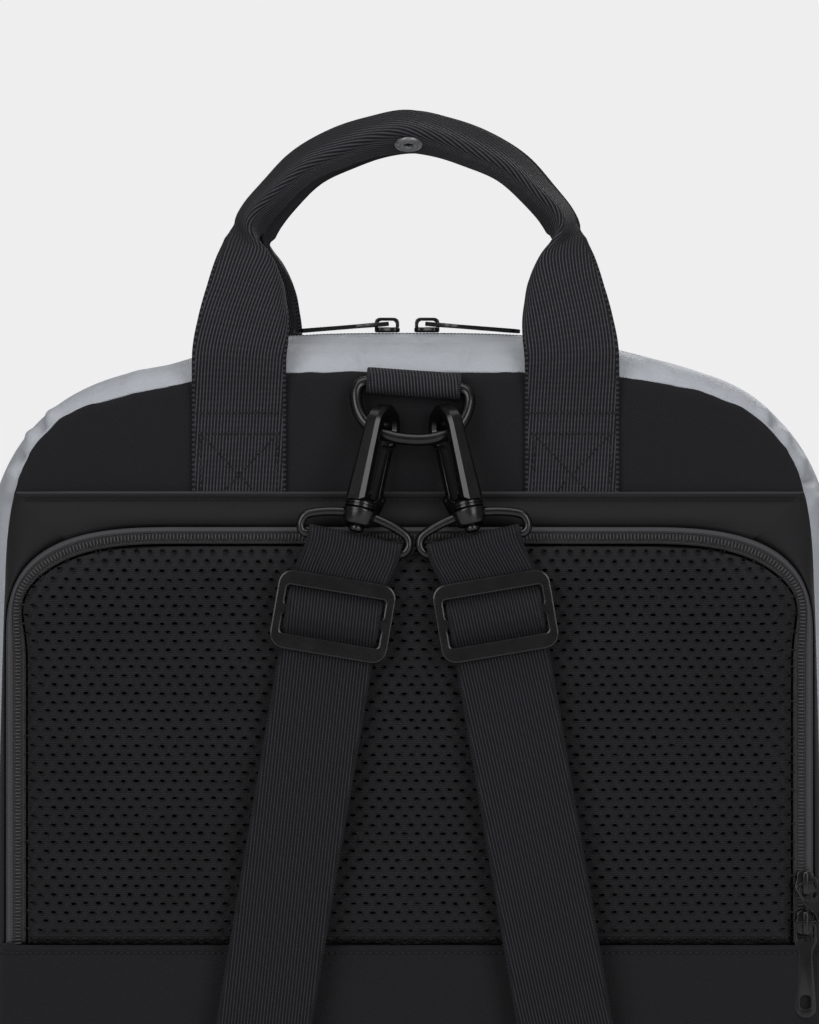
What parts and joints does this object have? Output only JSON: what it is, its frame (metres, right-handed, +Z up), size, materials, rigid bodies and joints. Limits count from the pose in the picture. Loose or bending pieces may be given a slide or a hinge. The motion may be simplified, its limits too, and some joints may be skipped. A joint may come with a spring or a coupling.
{
  "type": "cycling backpack",
  "caption": "Upright commuter backpack in grey cloth with a black padded mesh back, webbing handles, and shoulder straps clipped to a D-ring by snap hooks.",
  "frame": {"origin": "middle of the flat base, which the bag stands on", "axes": "+Z up, -Y towards the wearer, +X to the right as seen from the wearer's side"},
  "size_m": [0.3557, 0.184, 0.5421],
  "materials": {
    "grey_cloth": "satin, reflective",
    "twill": "matt twill",
    "smooth_cloth": "matt",
    "zip_tape": "matt, with nylon coil",
    "air_mesh": "matt, open mesh",
    "webbing": "matt, ribbed",
    "black_metal": "satin black"
  },
  "bodies": {
    "bag": {"body_shell": "grey_cloth", "main_zip_tape": "zip_tape", "back_yoke": "twill", "zip_surround": "smooth_cloth", "back_zip_tape": "zip_tape", "mesh_pad": "air_mesh", "lower_panel": "twill", "back_handle": "webbing", "front_handle": "webbing", "handle_snap": "black_metal", "d_ring": "black_metal", "d_ring_loop": "webbing", "left_strap_slider": "black_metal", "left_shoulder_strap": "webbing", "left_hook_eye": "black_metal", "right_strap_slider": "black_metal", "right_shoulder_strap": "webbing", "right_hook_eye": "black_metal", "main_zip_slider_left": "black_metal", "main_zip_slider_right": "black_metal", "back_zip_slider_upper": "black_metal", "back_zip_slider_lower": "black_metal"},
    "hook_left": {"left_hook_body": "black_metal"},
    "gate_left": {"left_hook_gate": "black_metal"},
    "hook_right": {"right_hook_body": "black_metal"},
    "gate_right": {"right_hook_gate": "black_metal"},
    "main_pull_left": {"main_zip_pull_left": "black_metal"},
    "main_pull_right": {"main_zip_pull_right": "black_metal"},
    "back_pull_upper": {"back_zip_pull_upper": "black_metal"},
    "back_pull_lower": {"back_zip_pull_lower": "black_metal"}
  },
  "joints": [
    {"name": "left_hook_swivel", "type": "hinge", "parent": "bag", "child": "hook_left", "pos_m": [-0.02001, -0.091, 0.37841], "axis": [0.2087, 0.1564, 0.9654], "range_deg": [-6, 36]},
    {"name": "left_gate_hinge", "type": "hinge", "parent": "hook_left", "child": "gate_left", "pos_m": [-0.01347, -0.08074, 0.38383], "axis": [0.863, -0.4938, -0.1066], "range_deg": [0, 22], "stiffness_Nm_per_rad": 0.05, "springref_deg": -34.38},
    {"name": "right_hook_swivel", "type": "hinge", "parent": "bag", "child": "hook_right", "pos_m": [0.02381, -0.091, 0.37841], "axis": [-0.2087, 0.1564, 0.9654], "range_deg": [-36, 6]},
    {"name": "right_gate_hinge", "type": "hinge", "parent": "hook_right", "child": "gate_right", "pos_m": [0.01727, -0.08074, 0.38383], "axis": [0.863, 0.4938, 0.1066], "range_deg": [0, 22], "stiffness_Nm_per_rad": 0.05, "springref_deg": -34.38},
    {"name": "main_pull_left_hinge", "type": "hinge", "parent": "bag", "child": "main_pull_left", "pos_m": [-0.0092, -0.04, 0.4556], "axis": [0, 1, 0], "range_deg": [0, 100]},
    {"name": "main_pull_right_hinge", "type": "hinge", "parent": "bag", "child": "main_pull_right", "pos_m": [0.0072, -0.04, 0.4556], "axis": [0, -1, 0], "range_deg": [0, 100]},
    {"name": "back_pull_upper_hinge", "type": "hinge", "parent": "bag", "child": "back_pull_upper", "pos_m": [0.1586, -0.0844, 0.2304], "axis": [-0.8829, 0, -0.4695], "range_deg": [0, 150]},
    {"name": "back_pull_lower_hinge", "type": "hinge", "parent": "bag", "child": "back_pull_lower", "pos_m": [0.1586, -0.0844, 0.2144], "axis": [-1, 0, 0], "range_deg": [0, 100]}
  ]
}
